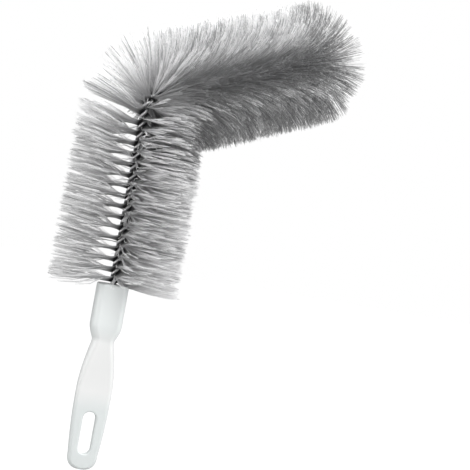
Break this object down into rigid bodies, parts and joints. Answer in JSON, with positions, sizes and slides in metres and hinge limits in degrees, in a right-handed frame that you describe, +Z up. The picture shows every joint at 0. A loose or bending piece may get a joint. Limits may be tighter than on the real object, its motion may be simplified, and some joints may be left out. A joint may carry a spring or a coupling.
{
  "type": "bendable duster",
  "caption": "Bendable twisted-wire duster with a round head of grey filaments, bent at its middle, and a white handle with a hanging slot.",
  "frame": {"origin": "middle of the grip, on the handle's long axis", "axes": "+Z up the handle and the straight rear half of the head, X across the handle's flat face, -Y out of the flat face; the front half leans over 72 degrees towards 30 degrees from +X towards +Y"},
  "size_m": [0.2276, 0.1796, 0.3872],
  "materials": {
    "handle_plastic": "satin white moulding",
    "steel_wire": "dull galvanised wire",
    "grey_filament": "fine grey nylon filament"
  },
  "bodies": {
    "handle_half": {"handle": "handle_plastic", "rear_wire_a": "steel_wire", "rear_wire_b": "steel_wire", "bend_wire_a": "steel_wire", "bend_wire_b": "steel_wire", "rear_bristles": "grey_filament", "bend_bristles": "grey_filament"},
    "front_half": {"front_wire": "steel_wire", "front_bristles": "grey_filament"}
  },
  "joints": [
    {"name": "stem_bend", "type": "hinge", "parent": "handle_half", "child": "front_half", "pos_m": [0.00199, 0.00115, 0.21068], "axis": [-0.5, 0.866, 0], "range_deg": [-72, 0], "deforming": ["bend_wire_a", "bend_wire_b", "bend_bristles"]}
  ]
}
